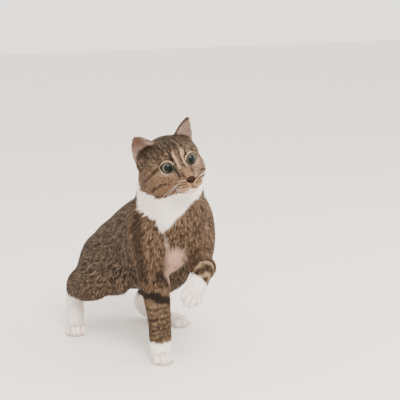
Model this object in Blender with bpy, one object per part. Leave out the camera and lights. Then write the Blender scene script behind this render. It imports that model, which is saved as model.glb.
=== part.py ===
"""A domestic short-haired cat, life size: half crouched, one forepaw lifted, the head on one side.

The body is drawn as lofts of oval sections along the trunk, neck, legs and tail, with rounded masses for the
head and the toes. One skin joins them, and thin cuts then part it where a person would name a cat's parts.
Eyes, ears and nose are solids of their own, let into the head.

The cat faces -Y and its left side is at +X. Points are in centimetres from the floor under its trunk, and the
whole is turned into metres at the end, with the origin on the floor under the middle of the cat's box.
"""

import math

import bmesh
import bpy
from mathutils import Matrix, Vector

CM = 0.01
RIGHT, LEFT = -1, 1

# Driving sizes, in centimetres and degrees.
GAP = 0.036  # between two parts that touch
VOXEL = 0.22  # fineness of the skin that joins the masses
RING_SIDES = 20
STEPS_PER_SPAN = 5
FLOOR_DIP = 0.14  # how much of each sole and of the tail is pressed flat
BODY_TRIANGLES = 5000
SHARP = 50  # an edge that turns by more than this is drawn sharp

HEAD_AT = Vector((-1.4, -14.5, 32.3))  # between the eyeballs
HEAD_TURN, HEAD_LIFT, HEAD_TILT = -5.3, 3.8, 16.5  # to its right, chin up, left side up

EYE_RADIUS = 1.10
EYE_SPREAD = 1.86  # from the middle of the face to the middle of an eyeball
EYE_TURN = 12  # outward, in degrees

# The left ear's three corners, in the head's frame.
EAR_INNER_FOOT = Vector((1.81, 2.25, 3.26))
EAR_OUTER_FOOT = Vector((4.66, 4.42, 1.34))
EAR_TIP = Vector((4.61, 2.19, 5.65))
EAR_ROOT = 1.1  # how far the ear goes on into the head
EAR_WRAP = 74  # half the angle that its foot wraps round
EAR_THICK = 0.24

NOSE_HALVES = (0.72, 0.38, 0.46)

COAT = (0.16, 0.12, 0.085, 1)
WHITE_COAT = (0.80, 0.74, 0.69, 1)
EYE_GREEN = (0.22, 0.33, 0.22, 1)
NOSE_BROWN = (0.16, 0.065, 0.045, 1)
EAR_SKIN = (0.30, 0.19, 0.15, 1)


def rotation(degrees, axis):
    return Matrix.Rotation(math.radians(degrees), 4, axis)


# The head's own frame: X to the cat's left, Y back and Z up.
HEAD = Matrix.Translation(HEAD_AT) @ rotation(HEAD_TURN, "Z")
HEAD = HEAD @ rotation(-HEAD_LIFT, "X") @ rotation(-HEAD_TILT, "Y")


# ---------------------------------------------------------------- tools


def new_object(name, bm):
    """A scene object made of this mesh, which is then let go."""
    mesh = bpy.data.meshes.new(name)
    bm.to_mesh(mesh)
    bm.free()
    made = bpy.data.objects.new(name, mesh)
    bpy.context.scene.collection.objects.link(made)
    return made


def finish(name, colour, roughness=0.8):
    """A plain finish of one colour."""
    material = bpy.data.materials.new(name)
    material.use_nodes = True
    shader = material.node_tree.nodes["Principled BSDF"]
    shader.inputs["Base Color"].default_value = colour
    shader.inputs["Roughness"].default_value = roughness
    shader.inputs["Metallic"].default_value = 0
    return material


def apply_modifiers(obj):
    """Gives the object the mesh that its modifiers make."""
    graph = bpy.context.evaluated_depsgraph_get()
    made = bpy.data.meshes.new_from_object(obj.evaluated_get(graph))
    obj.modifiers.clear()
    obj.data = made


def through(stations):
    """Reads a smooth curve through the stations given. Each is (point, half width, half depth)."""
    rows = [Vector((*point, wide, deep)) for point, wide, deep in stations]
    rows = [2 * rows[0] - rows[1], *rows, 2 * rows[-1] - rows[-2]]
    read = []
    for a, b, c, d in zip(rows, rows[1:], rows[2:], rows[3:]):
        for step in range(STEPS_PER_SPAN):
            t = step / STEPS_PER_SPAN
            bend = (2 * a - 5 * b + 4 * c - d) * t**2 + (3 * b - a - 3 * c + d) * t**3
            read.append((2 * b + (c - a) * t + bend) / 2)
    read.append(rows[-2])
    return [(Vector(row[:3]), row[3], row[4]) for row in read]


def ring_place(point, along, side, wide, deep):
    """The matrix that lays a unit circle round a limb at this point."""
    along = along.normalized()
    across = (side - side.dot(along) * along).normalized()
    place = Matrix((across * wide, along.cross(across) * deep, along)).transposed().to_4x4()
    place.translation = point
    return place


def loft(bm, stations, side=(1, 0, 0)):
    """A closed tube with oval sections, whose half widths lie along this side."""
    rows = through(stations)
    points = [row[0] for row in rows]
    ends = [points[0], *points, points[-1]]
    alongs = [after - before for before, after in zip(ends, ends[2:])]
    places = [
        ring_place(point, along, Vector(side), wide, deep)
        for (point, wide, deep), along in zip(rows, alongs)
    ]
    ring = bmesh.ops.create_circle(bm, segments=RING_SIDES, radius=1, matrix=places[0])["verts"]
    first = list({edge for vert in ring for edge in vert.link_edges})
    rim = first
    for before, after in zip(places, places[1:]):
        pulled = bmesh.ops.extrude_edge_only(bm, edges=rim)["geom"]
        rim = [part for part in pulled if isinstance(part, bmesh.types.BMEdge)]
        moved = [part for part in pulled if isinstance(part, bmesh.types.BMVert)]
        bmesh.ops.transform(bm, verts=moved, matrix=after @ before.inverted())
    bmesh.ops.edgeloop_fill(bm, edges=first)
    bmesh.ops.edgeloop_fill(bm, edges=rim)


def mass(bm, centre, radii, frame=Matrix(), turn=(0, 0, 0)):
    """A rounded mass: a ball with these radii, turned by degrees about X, Y and Z."""
    shape = Matrix.Diagonal((*radii, 1))
    for degrees, axis in zip(turn, "XYZ"):
        shape = rotation(degrees, axis) @ shape
    place = frame @ Matrix.Translation(Vector(centre)) @ shape
    bmesh.ops.create_icosphere(bm, subdivisions=3, radius=1, matrix=place)


def frame_of(origin, forward, up):
    """A frame at a point, with -Y forward and Z up."""
    back = -Vector(forward).normalized()
    up = Vector(up)
    up = (up - up.dot(back) * back).normalized()
    frame = Matrix((back.cross(up), back, up)).transposed().to_4x4()
    frame.translation = Vector(origin)
    return frame


# ---------------------------------------------------------------- trunk, neck and tail


def add_trunk(bm):
    """A deep chest held high, a full belly, and a rump that is let down."""
    loft(
        bm,
        [
            ((0.6, -13.2, 21.6), 2.6, 2.8),  # breast
            ((0.7, -11.4, 21.0), 4.6, 5.0),
            ((0.6, -7.6, 20.4), 5.9, 6.3),  # shoulders
            ((0.3, -2.2, 18.5), 6.0, 6.9),  # ribs
            ((0.1, 3.3, 15.4), 6.0, 7.1),  # belly
            ((0.0, 7.6, 14.1), 5.7, 6.1),  # loin
            ((0.0, 11.5, 12.8), 5.2, 5.4),  # rump
            ((0.0, 14.4, 12.4), 3.6, 3.9),
            ((0.0, 15.8, 12.3), 1.8, 2.0),
        ],
    )


def add_neck(bm):
    """A thick neck in full coat, from between the shoulders to the back of the head."""
    loft(
        bm,
        [
            ((0.5, -6.2, 20.5), 5.4, 5.4),
            ((0.5, -7.8, 24.4), 5.5, 5.5),
            ((0.1, -9.0, 27.4), 5.2, 5.3),
            ((-0.6, -9.7, 30.2), 4.7, 4.9),
            ((-1.1, -10.1, 32.4), 3.8, 4.0),
        ],
    )
    mass(bm, (0.5, -11.0, 24.2), (4.7, 3.5, 4.8), turn=(-18, 0, 0))  # full breast below the throat


def add_tail(bm):
    """From the rump down to its left, then back along the floor."""
    loft(
        bm,
        [
            ((0.0, 13.4, 12.8), 2.1, 2.1),
            ((1.0, 16.6, 11.9), 1.55, 1.55),
            ((4.2, 19.0, 10.2), 1.38, 1.38),
            ((8.2, 20.1, 7.4), 1.30, 1.30),
            ((11.5, 20.8, 4.3), 1.26, 1.26),
            ((13.7, 22.6, 1.9), 1.22, 1.22),
            ((15.1, 25.2, 1.08), 1.18, 1.18),
            ((16.4, 28.0, 1.00), 1.10, 1.10),
            ((17.4, 30.2, 0.86), 0.85, 0.85),
            ((17.8, 31.1, 0.80), 0.45, 0.45),
        ],
        side=(0.6, -0.4, 0.7),
    )


# ---------------------------------------------------------------- legs and feet


def add_foreleg_right(bm):
    """Straight under the shoulder, carrying the weight."""
    loft(
        bm,
        [
            ((-2.8, -5.4, 25.0), 1.9, 2.8),  # shoulder blade
            ((-3.9, -7.8, 21.6), 2.5, 3.6),
            ((-3.8, -8.6, 18.2), 2.5, 3.4),  # upper arm
            ((-2.9, -8.3, 14.8), 2.5, 2.7),  # elbow
            ((-2.3, -8.4, 11.6), 2.3, 2.25),
            ((-1.9, -8.7, 7.6), 1.98, 1.88),
            ((-1.8, -9.0, 4.4), 1.82, 1.72),  # wrist
            ((-2.0, -9.5, 2.4), 1.80, 1.55),
            ((-2.25, -10.1, 1.3), 1.55, 1.0),
        ],
    )


def add_foreleg_left(bm):
    """Lifted: the upper arm down, the forearm forward and across, the wrist bent over."""
    loft(
        bm,
        [
            ((4.5, -5.4, 25.6), 2.4, 3.0),
            ((5.3, -7.4, 22.4), 2.8, 3.6),
            ((5.2, -9.0, 18.6), 2.6, 3.2),
            ((4.2, -10.9, 15.65), 2.0, 2.4),  # elbow
            ((3.4, -13.3, 15.2), 1.82, 2.0),
            ((2.75, -15.6, 15.9), 1.75, 1.8),  # forearm
            ((1.6, -17.3, 16.4), 1.55, 1.62),
            ((0.85, -17.9, 15.5), 1.55, 1.5),  # wrist
            ((0.35, -17.7, 14.1), 1.6, 1.3),
        ],
        side=(1, -0.55, 0.2),
    )


def add_hindleg_right(bm):
    """Knee and haunch folded, the foot standing on its toes."""
    loft(
        bm,
        [
            ((-2.8, 11.4, 14.2), 3.0, 4.0),  # hip
            ((-4.4, 8.8, 12.7), 3.3, 4.8),
            ((-5.9, 6.2, 11.2), 3.0, 4.2),  # thigh
            ((-6.6, 5.2, 9.7), 2.5, 3.0),  # knee
            ((-6.9, 7.2, 8.9), 2.4, 2.8),
            ((-7.0, 10.2, 8.4), 2.3, 3.0),  # shin
            ((-7.1, 12.6, 7.5), 1.8, 2.2),  # hock
            ((-7.3, 12.9, 5.6), 1.45, 1.6),
            ((-7.7, 11.8, 3.2), 1.5, 1.5),
            ((-8.1, 10.8, 1.5), 1.55, 1.1),
        ],
        side=(0.9, 0.4, 0),
    )
    mass(bm, (-4.3, 2.2, 11.5), (2.4, 4.6, 3.6), turn=(-25, 0, 0))  # fold of the flank


def add_hindleg_left(bm):
    """Folded under the belly, the foot down nearly to its heel and turned out."""
    loft(
        bm,
        [
            ((2.8, 11.4, 14.2), 3.0, 4.0),
            ((4.7, 8.4, 12.9), 3.5, 4.9),
            ((6.2, 5.4, 11.7), 3.0, 4.0),
            ((6.9, 4.1, 10.2), 2.5, 2.9),  # knee
            ((6.5, 6.2, 8.3), 2.25, 2.5),
            ((5.7, 9.4, 5.8), 1.9, 2.1),
            ((5.1, 12.0, 3.5), 1.5, 1.7),  # hock
            ((5.6, 11.6, 1.9), 1.4, 1.4),
            ((7.0, 8.8, 1.4), 1.45, 1.2),
            ((8.0, 6.9, 1.3), 1.5, 1.05),
        ],
        side=(0.95, 0.3, 0),
    )
    mass(bm, (5.7, 1.2, 12.2), (2.6, 4.9, 3.8), turn=(-25, 0, 0))


# Where each foot is, which way its toes go and which way its back faces; then half its width, and its length.
FEET = {
    "forepaw_right": (frame_of((-2.35, -10.3, 0), (-0.12, -1, 0), (0, 0, 1)), 1.68, 3.3),
    "forepaw_left": (frame_of((0.05, -17.0, 13.4), (-0.34, 0.22, -0.92), (-0.35, -0.90, 0)), 1.72, 3.5),
    "hindfoot_right": (frame_of((-8.4, 9.9, 0), (-0.42, -0.9, 0), (0, 0, 1)), 1.70, 3.4),
    "hindfoot_left": (frame_of((8.5, 6.1, 0), (0.42, -0.9, 0), (0, 0, 1)), 1.66, 3.4),
}
PAW_HIGH = 2.0
TOES = ((-0.72, 0.30, 0.86), (-0.25, 0.02, 1), (0.25, 0.02, 1), (0.72, 0.30, 0.86))  # across, back, size


def add_paw(bm, frame, wide, long):
    """Four toes in a shallow arc, with the pad of the paw behind them."""
    for across, behind, share in TOES:
        centre = (across * wide, (behind - 1.04) * long / 2, PAW_HIGH * 0.48 * share)
        mass(bm, centre, (wide * 0.32, long * 0.36 * share, PAW_HIGH * 0.54 * share), frame)
    mass(bm, (0, long * 0.10, PAW_HIGH * 0.52), (wide * 0.92, long * 0.58, PAW_HIGH * 0.58), frame)


# ---------------------------------------------------------------- head


def add_head(bm):
    """Skull, cheeks, brows, muzzle and jaw."""
    mass(bm, (0, 3.5, 0.8), (4.1, 4.7, 3.2), HEAD)  # cranium
    mass(bm, (0, 0.9, 1.5), (2.7, 2.2, 1.9), HEAD, (-25, 0, 0))  # forehead
    mass(bm, (0, 2.2, -2.4), (3.1, 3.4, 2.2), HEAD)  # throat
    loft(
        bm,
        [
            (HEAD @ Vector(point), wide, deep)
            for point, wide, deep in (
                ((0, 0.9, 0.9), 1.7, 1.4),
                ((0, -0.8, -0.15), 1.15, 1.1),
                ((0, -2.2, -1.3), 0.95, 0.9),
                ((0, -3.1, -2.1), 0.8, 0.75),
                ((0, -3.5, -2.5), 0.6, 0.5),
            )
        ],
        side=HEAD.to_3x3() @ Vector((1, 0, 0)),
    )
    mass(bm, (0, -2.1, -3.95), (1.08, 1.15, 0.82), HEAD)  # chin
    mass(bm, (0, -0.1, -3.3), (2.0, 2.5, 1.5), HEAD)  # lower jaw
    for side in (RIGHT, LEFT):
        mass(bm, (side * 2.8, 3.1, -2.1), (2.3, 3.5, 2.75), HEAD, (0, side * 8, side * -6))  # cheek
        mass(bm, (side * 2.6, 2.2, 0.6), (1.9, 2.2, 2.0), HEAD)  # temple
        mass(bm, (side * 3.1, 4.3, 0.6), (1.9, 2.2, 2.3), HEAD)  # foot of the ear
        mass(bm, (side * 1.9, 0.6, 0.95), (1.35, 1.25, 0.8), HEAD, (0, side * 14, 0))  # brow
        mass(bm, (side * 2.35, 0.75, -1.3), (1.5, 1.5, 1.15), HEAD)  # cheek bone
        mass(bm, (side * 1.2, -0.9, -1.95), (1.3, 1.9, 1.4), HEAD)  # side of the muzzle
        mass(bm, (side * 1.05, -2.3, -3.0), (1.25, 1.38, 1.05), HEAD)  # whisker pad


def eye(name, side, grown=0):
    """A ball with a low clear dome at its front, turned a little outward."""
    bm = bmesh.new()
    bmesh.ops.create_uvsphere(bm, u_segments=16, v_segments=9, radius=EYE_RADIUS + grown)
    for vert in bm.verts:
        vert.co.z += 0.4 * max(0, vert.co.z / EYE_RADIUS - 0.75)
    place = HEAD @ Matrix.Translation((side * EYE_SPREAD, 0, 0))
    place = place @ rotation(side * EYE_TURN, "Z") @ rotation(90, "X")
    bmesh.ops.transform(bm, verts=bm.verts, matrix=place)
    return new_object(name, bm)


def ear(name, side):
    """A pointed cup: a sheet rolled round its upright axis, closing to a rounded tip."""
    foot = (EAR_INNER_FOOT + EAR_OUTER_FOOT) / 2
    up = (EAR_TIP - foot).normalized()
    across = EAR_OUTER_FOOT - EAR_INNER_FOOT
    half_foot = across.length / 2
    across = (across - across.dot(up) * up).normalized()
    frame = Matrix((across, up.cross(across), up)).transposed().to_4x4()
    frame.translation = foot
    high = (EAR_TIP - foot).length

    bm = bmesh.new()
    bmesh.ops.create_grid(bm, x_segments=8, y_segments=9, size=1)
    for vert in bm.verts:
        level = -EAR_ROOT + (vert.co.y + 1) / 2 * (high + EAR_ROOT)
        share = min(1, max(0, level / high))
        half = half_foot * (1 - share**1.55) ** 0.8 + 0.06
        wrap = math.radians(EAR_WRAP * (1 - share) + 32 * share)
        turn = wrap * vert.co.x
        curl = half / math.sin(wrap)
        behind = curl * (math.cos(turn) - math.cos(wrap)) * 0.9 + 0.25 * math.sin(math.pi * share)
        vert.co = (curl * math.sin(turn), behind, level)
    bmesh.ops.transform(bm, verts=bm.verts, matrix=HEAD @ Matrix.Diagonal((side, 1, 1, 1)) @ frame)
    bmesh.ops.recalc_face_normals(bm, faces=bm.faces)
    made = new_object(name, bm)
    shell = made.modifiers.new("thickness", "SOLIDIFY")
    shell.thickness = EAR_THICK
    shell.offset = 0
    apply_modifiers(made)
    return made


def nose(name, grown=0):
    """The bare leather: a rounded triangle over the cleft of the lip."""
    wide, deep, high = (size + grown for size in NOSE_HALVES)
    bm = bmesh.new()
    bmesh.ops.create_icosphere(bm, subdivisions=2, radius=1, matrix=Matrix.Diagonal((wide, deep, high, 1)))
    for vert in bm.verts:
        vert.co.x *= 0.62 + 0.38 * min(1, (vert.co.z + high) / (1.6 * high))
    place = HEAD @ Matrix.Translation((0, -3.75, -2.32)) @ rotation(-14, "X")
    bmesh.ops.transform(bm, verts=bm.verts, matrix=place)
    return new_object(name, bm)


# ---------------------------------------------------------------- joining and parting


def skin_over(obj, rounds):
    """One closed skin over all of an object's masses, smoothed."""
    skin = obj.modifiers.new("one skin", "REMESH")
    skin.mode = "VOXEL"
    skin.voxel_size = VOXEL
    smooth = obj.modifiers.new("soften", "SMOOTH")
    smooth.factor = 0.5
    smooth.iterations = rounds
    apply_modifiers(obj)


def joined_body():
    """Large masses first, blended softly; then the paws, blended lightly so that the toes stay."""
    bm = bmesh.new()
    for add in (
        add_trunk,
        add_neck,
        add_tail,
        add_foreleg_right,
        add_foreleg_left,
        add_hindleg_right,
        add_hindleg_left,
        add_head,
    ):
        add(bm)
    body = new_object("body", bm)
    skin_over(body, 22)
    bm = bmesh.new()
    bm.from_mesh(body.data)
    for frame, wide, long in FEET.values():
        add_paw(bm, frame, wide, long)
    bm.to_mesh(body.data)
    bm.free()
    skin_over(body, 5)
    fewer = body.modifiers.new("fewer faces", "DECIMATE")
    fewer.ratio = BODY_TRIANGLES / (2 * len(body.data.polygons))
    apply_modifiers(body)
    return body


def cut_away(obj, cutter):
    """Takes the cutter's space out of the object, and drops the cutter."""
    cut = obj.modifiers.new("cut", "BOOLEAN")
    cut.operation = "DIFFERENCE"
    cut.object = cutter
    apply_modifiers(obj)
    bpy.data.objects.remove(cutter)


def block(place):
    """A cube from -1 to 1, put in this place."""
    bm = bmesh.new()
    bmesh.ops.create_cube(bm, size=2, matrix=place)
    return new_object("block", bm)


# Where the body is parted: a point on each cut, the way across it, and half its reach each way.
CUTS = (
    (HEAD @ Vector((0, 5.6, -2.4)), HEAD.to_3x3() @ Vector((0, 0.76, -0.65)), 8.5),  # nape and throat
    ((0.4, -8.5, 25.0), (0, -0.34, 0.94), 9.5),  # foot of the neck
    ((0.3, -1.6, 18.4), (0, 0.94, -0.33), 10),  # behind the ribs
    ((-2.5, -8.4, 12.7), (0, 0, 1), 3.2),  # right elbow
    ((3.0, -15.1, 15.7), (-0.45, -0.85, 0.25), 2.8),  # left elbow
    ((-2.0, -9.1, 4.2), (0, 0, 1), 2.6),  # right wrist
    ((0.5, -17.6, 14.25), (-0.3, 0.15, -0.95), 2.5),  # left wrist
    ((-7.4, 12.6, 4.9), (0, 0.1, 1), 2.3),  # right hock
    ((5.4, 11.8, 3.0), (0, -0.1, 1), 2.6),  # left hock
    ((1.5, 17.2, 11.7), (0.72, 0.6, -0.36), 2.2),  # root of the tail
    ((7.6, 20.0, 7.9), (0.76, 0.22, -0.6), 2.0),
    ((13.3, 22.2, 2.2), (0.5, 0.55, -0.65), 2.0),
)
HIP_CUT_HALVES = (5.4, 9.5)
HIP_CUTS = (
    ((-5.6, 6.0, 10.6), (-0.62, 0, -0.785)),
    ((5.6, 6.0, 10.9), (0.62, 0, -0.785)),
)

# A point near the middle of each part, by which the parts are told from each other.
PARTS = {
    "head": HEAD @ Vector((0, 1.5, -0.8)),
    "neck": (-0.3, -9.5, 28.0),
    "chest": (0.5, -8.0, 20.0),
    "trunk": (0, 6.4, 14.0),
    "foreleg_right": (-2.2, -8.7, 8.5),
    "forepaw_right": (-2.2, -10.4, 1.8),
    "foreleg_left": (1.8, -16.8, 16.0),
    "forepaw_left": (0.2, -17.2, 12.9),
    "hindleg_right": (-6.6, 8.0, 8.6),
    "hindfoot_right": (-7.8, 11.0, 2.6),
    "hindleg_left": (6.3, 6.5, 8.0),
    "hindfoot_left": (7.2, 8.3, 1.4),
    "tail_base": (4.5, 18.9, 10.0),
    "tail_middle": (10.6, 20.8, 5.0),
    "tail_tip": (15.6, 26.4, 1.1),
}
WHITE_PARTS = {"forepaw_right", "forepaw_left", "hindfoot_right", "hindfoot_left"}


def cut_body(body):
    """Presses the soles flat, lets in the eyes and nose, and parts the body with thin cuts."""
    below = Matrix.Translation((0, 0, FLOOR_DIP - 5)) @ Matrix.Diagonal((60, 60, 5, 1))
    cut_away(body, block(below))
    for side in (RIGHT, LEFT):
        cut_away(body, eye("socket", side, GAP))
    cut_away(body, nose("nostrils", GAP))
    for point, across, reach in CUTS:
        turn = Vector(across).to_track_quat("Z", "Y").to_matrix().to_4x4()
        place = Matrix.Translation(point) @ turn @ Matrix.Diagonal((reach, reach, GAP / 2, 1))
        cut_away(body, block(place))
    for point, across in HIP_CUTS:
        wide, long = HIP_CUT_HALVES
        place = frame_of(point, (0, -1, 0), across) @ Matrix.Diagonal((wide, long, GAP / 2, 1))
        cut_away(body, block(place))


def islands(bm):
    """The faces of each separate body in a mesh."""
    left = set(bm.faces)
    while left:
        found = {left.pop()}
        edge = list(found)
        while edge:
            face = edge.pop()
            near = {other for vert in face.verts for other in vert.link_faces} - found
            found |= near
            edge.extend(near)
        left -= found
        yield found


def clear_of_head(made, body):
    """Cuts an ear's root back to the head's surface, and drops what is left inside."""
    grown = bpy.data.objects.new("grown", body.data.copy())
    bpy.context.scene.collection.objects.link(grown)
    push = grown.modifiers.new("grow", "DISPLACE")
    push.strength = GAP
    push.mid_level = 0
    apply_modifiers(grown)
    cut_away(made, grown)
    bm = bmesh.new()
    bm.from_mesh(made.data)
    largest = max(islands(bm), key=len)
    bmesh.ops.delete(bm, geom=[face for face in bm.faces if face not in largest], context="FACES")
    bm.to_mesh(made.data)
    bm.free()


def keep_only(name, obj, wanted):
    """A new object with just these faces of another, by their numbers."""
    bm = bmesh.new()
    bm.from_mesh(obj.data)
    bmesh.ops.delete(bm, geom=[face for face in bm.faces if face.index not in wanted], context="FACES")
    return new_object(name, bm)


def part_body(body):
    """One named object for each part that the cuts have made."""
    bm = bmesh.new()
    bm.from_mesh(body.data)
    groups = []
    for faces in islands(bm):
        verts = {vert for face in faces for vert in face.verts}
        middle = sum((vert.co for vert in verts), Vector()) / len(verts)
        groups.append((middle, {face.index for face in faces}))
    bm.free()
    parts = {}
    for middle, faces in groups:
        name = min(PARTS, key=lambda part: (Vector(PARTS[part]) - middle).length)
        parts.setdefault(name, set()).update(faces)
    if len(groups) != len(PARTS) or len(parts) != len(PARTS):
        raise ValueError(f"the cuts made {len(groups)} parts, with {len(parts)} names")
    return [keep_only(name, body, faces) for name, faces in parts.items()]


def set_on_origin(parts):
    """Turns centimetres into metres, with the origin on the floor under the middle of the cat's box."""
    corners = [vert.co for part in parts for vert in part.data.vertices]
    low = [min(co[axis] for co in corners) for axis in range(3)]
    high = [max(co[axis] for co in corners) for axis in range(3)]
    middle = Vector(((low[0] + high[0]) / 2, (low[1] + high[1]) / 2, low[2]))
    for part in parts:
        part.data.transform(Matrix.Scale(CM, 4) @ Matrix.Translation(-middle))
        part.data.shade_smooth()
        part.data.set_sharp_from_angle(angle=math.radians(SHARP))


def main():
    for old in list(bpy.data.objects):
        bpy.data.objects.remove(old)
    coat, white = finish("coat", COAT), finish("white coat", WHITE_COAT)
    eye_finish, ear_finish = finish("eye", EYE_GREEN, 0.1), finish("ear", EAR_SKIN)
    body = joined_body()
    made = []
    for name, side in (("right", RIGHT), ("left", LEFT)):
        made.append(eye("eye_" + name, side))
        made[-1].data.materials.append(eye_finish)
        made.append(ear("ear_" + name, side))
        clear_of_head(made[-1], body)
        made[-1].data.materials.append(ear_finish)
    made.append(nose("nose"))
    made[-1].data.materials.append(finish("nose", NOSE_BROWN, 0.5))
    cut_body(body)
    for part in part_body(body):
        part.data.materials.append(white if part.name in WHITE_PARTS else coat)
        made.append(part)
    bpy.data.objects.remove(body)
    set_on_origin(made)


main()
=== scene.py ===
"""A domestic short-haired tabby-and-white cat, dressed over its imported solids."""

import heapq
import math

import bmesh
import bpy
import numpy as np
from mathutils import Matrix, Vector
from mathutils.bvhtree import BVHTree


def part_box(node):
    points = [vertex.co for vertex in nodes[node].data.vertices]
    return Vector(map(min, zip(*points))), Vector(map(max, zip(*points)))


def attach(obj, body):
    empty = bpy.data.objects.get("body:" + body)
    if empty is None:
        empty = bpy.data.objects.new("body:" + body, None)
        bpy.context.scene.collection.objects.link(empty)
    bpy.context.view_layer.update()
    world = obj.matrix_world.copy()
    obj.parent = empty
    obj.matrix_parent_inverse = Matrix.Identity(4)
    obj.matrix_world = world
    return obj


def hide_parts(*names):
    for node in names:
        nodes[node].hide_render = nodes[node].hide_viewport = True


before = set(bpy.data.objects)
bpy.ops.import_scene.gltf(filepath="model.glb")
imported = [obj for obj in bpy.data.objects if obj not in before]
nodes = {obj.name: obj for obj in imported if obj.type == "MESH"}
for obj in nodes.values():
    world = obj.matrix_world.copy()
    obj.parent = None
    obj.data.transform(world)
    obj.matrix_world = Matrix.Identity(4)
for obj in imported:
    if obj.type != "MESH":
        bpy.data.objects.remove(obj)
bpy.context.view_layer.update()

# -------------------- skin
# The hide over all the flesh, one closed surface from the nose to the tail's tip with the ears on it.
# It is thin, loose skin with the coat growing from it, and lies the hair's depth inside the coat's outline.

EYES = {-1: "eye_right", 1: "eye_left"}
# How deep the coat is on each node of flesh, in metres.
DEPTH = {
    "head": 0.0020, "neck": 0.0042, "chest": 0.0042, "trunk": 0.0042,
    "foreleg_right": 0.0026, "foreleg_left": 0.0026, "forepaw_right": 0.0013, "forepaw_left": 0.0013,
    "hindleg_right": 0.0032, "hindleg_left": 0.0032, "hindfoot_right": 0.0014, "hindfoot_left": 0.0014,
    "tail_base": 0.0032, "tail_middle": 0.0032, "tail_tip": 0.0030,
    "ear_right": 0.0009, "ear_left": 0.0009,
}
FLESH = list(DEPTH)
VOXEL = 0.0024
SEAM = 0.0004  # each node is swelled this far, which closes the cuts between them
EYE_ROOM = 0.0112  # radius of the ball that fills each socket
HEAD_AT = Vector((-0.0512, -0.2041, 0.3216))  # between the eyeballs


def turned(degrees, axis):
    return Matrix.Rotation(math.radians(degrees), 4, axis)


HEAD = Matrix.Translation(HEAD_AT) @ turned(-5.3, "Z") @ turned(-3.8, "X") @ turned(-16.5, "Y")
TO_HEAD, FROM_HEAD = np.array(HEAD.inverted()), np.array(HEAD)


def in_head(points):
    """Points in the head's own frame, in centimetres: X to the cat's left, Y back, Z up."""
    return (points @ TO_HEAD[:3, :3].T + TO_HEAD[:3, 3]) * 100


def out_of_head(points):
    """Points of the head's frame back in the cat's own, in metres."""
    return points / 100 @ FROM_HEAD[:3, :3].T + FROM_HEAD[:3, 3]


def numbers(collection, field, wide, kind=np.float64):
    found = np.empty(len(collection) * wide, kind)
    collection.foreach_get(field, found)
    return found.reshape(-1, wide) if wide > 1 else found


def new_piece(name, bm, smooth=True):
    mesh = bpy.data.meshes.new(name)
    bm.to_mesh(mesh)
    bm.free()
    for polygon in mesh.polygons:
        polygon.use_smooth = smooth
    piece = bpy.data.objects.new(name, mesh)
    bpy.context.scene.collection.objects.link(piece)
    return piece


def ramp(low, high, values):
    """0 below low and 1 above high, with a smooth rise between."""
    share = np.clip((values - low) / (high - low), 0, 1)
    return share * share * (3 - 2 * share)


bm = bmesh.new()
for name in FLESH + ["nose"]:
    bm.from_mesh(nodes[name].data)
bmesh.ops.remove_doubles(bm, verts=bm.verts, dist=1e-5)
bm.normal_update()
for vert in bm.verts:
    vert.co += vert.normal * SEAM
eye_middles = {}  # in the head's frame
for side, name in EYES.items():
    low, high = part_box(name)
    middle = (low + high) / 2
    eye_middles[side] = in_head(np.array(middle)[None])[0]
    bmesh.ops.create_icosphere(bm, subdivisions=3, radius=EYE_ROOM, matrix=Matrix.Translation(middle))
rough = new_piece("rough", bm)
remesh = rough.modifiers.new("remesh", "REMESH")
remesh.mode = "VOXEL"
remesh.voxel_size = VOXEL
shaped = rough.evaluated_get(bpy.context.evaluated_depsgraph_get()).to_mesh()
bm = bmesh.new()
bm.from_mesh(shaped)
bpy.data.objects.remove(rough)

# The face is drawn finer than the rest.
middles = in_head(np.array([face.calc_center_median() for face in bm.faces]))
face_part = (middles[:, 1] < 0.9) & (np.abs(middles[:, 0]) < 3.7)
face_part &= (middles[:, 2] > -5) & (middles[:, 2] < 2.4)
fine = [face for face, near in zip(bm.faces, face_part) if near]
fine_edges = list({edge for face in fine for edge in face.edges})
bmesh.ops.subdivide_edges(bm, edges=fine_edges, cuts=2, use_grid_fill=True)
bmesh.ops.triangulate(bm, faces=[face for face in bm.faces if len(face.verts) > 4])
bmesh.ops.recalc_face_normals(bm, faces=bm.faces)
bm.verts.index_update()
skin = new_piece("skin", bm)
mesh = skin.data
co = numbers(mesh.vertices, "co", 3)
edges = numbers(mesh.edges, "vertices", 2, np.int32)
valence = np.bincount(edges.ravel(), minlength=len(co))


def spread(values):
    """The mean of each vertex's neighbours."""
    flat = values.reshape(len(values), -1)
    total = np.empty_like(flat)
    for column in range(flat.shape[1]):
        total[:, column] = np.bincount(edges[:, 0], flat[edges[:, 1], column], len(flat))
        total[:, column] += np.bincount(edges[:, 1], flat[edges[:, 0], column], len(flat))
    return (total / valence[:, None]).reshape(values.shape)


def blurred(values, rounds):
    for _ in range(rounds):
        values = 0.5 * values + 0.5 * spread(values)
    return values


# Which node each point of the skin comes from.
verts, polygons, owner = [], [], []
for number, name in enumerate(FLESH):
    base = len(verts)
    source = nodes[name].data
    verts.extend(vert.co.copy() for vert in source.vertices)
    polygons.extend([base + index for index in polygon.vertices] for polygon in source.polygons)
    owner.extend([number] * len(source.polygons))
solids = BVHTree.FromPolygons(verts, polygons)
owner = np.array(owner)
part = owner[[solids.find_nearest(Vector(point))[2] for point in co]]
EARS = ("ear_right", "ear_left")
THIGHS = ("hindleg_right", "hindleg_left")
PAWS = ("forepaw_right", "forepaw_left", "hindfoot_right", "hindfoot_left")


def comes_from(part, *names):
    """Whether points of the skin come from these nodes."""
    return np.isin(part, [FLESH.index(name) for name in names])


depth = np.array(list(DEPTH.values()))[part]
on_head = comes_from(part, "head")
depth = np.where(on_head, 0.0009 + 0.0022 * ramp(-2.0, 3.0, in_head(co)[:, 1]), depth)
depth = blurred(depth, 12)
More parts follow.
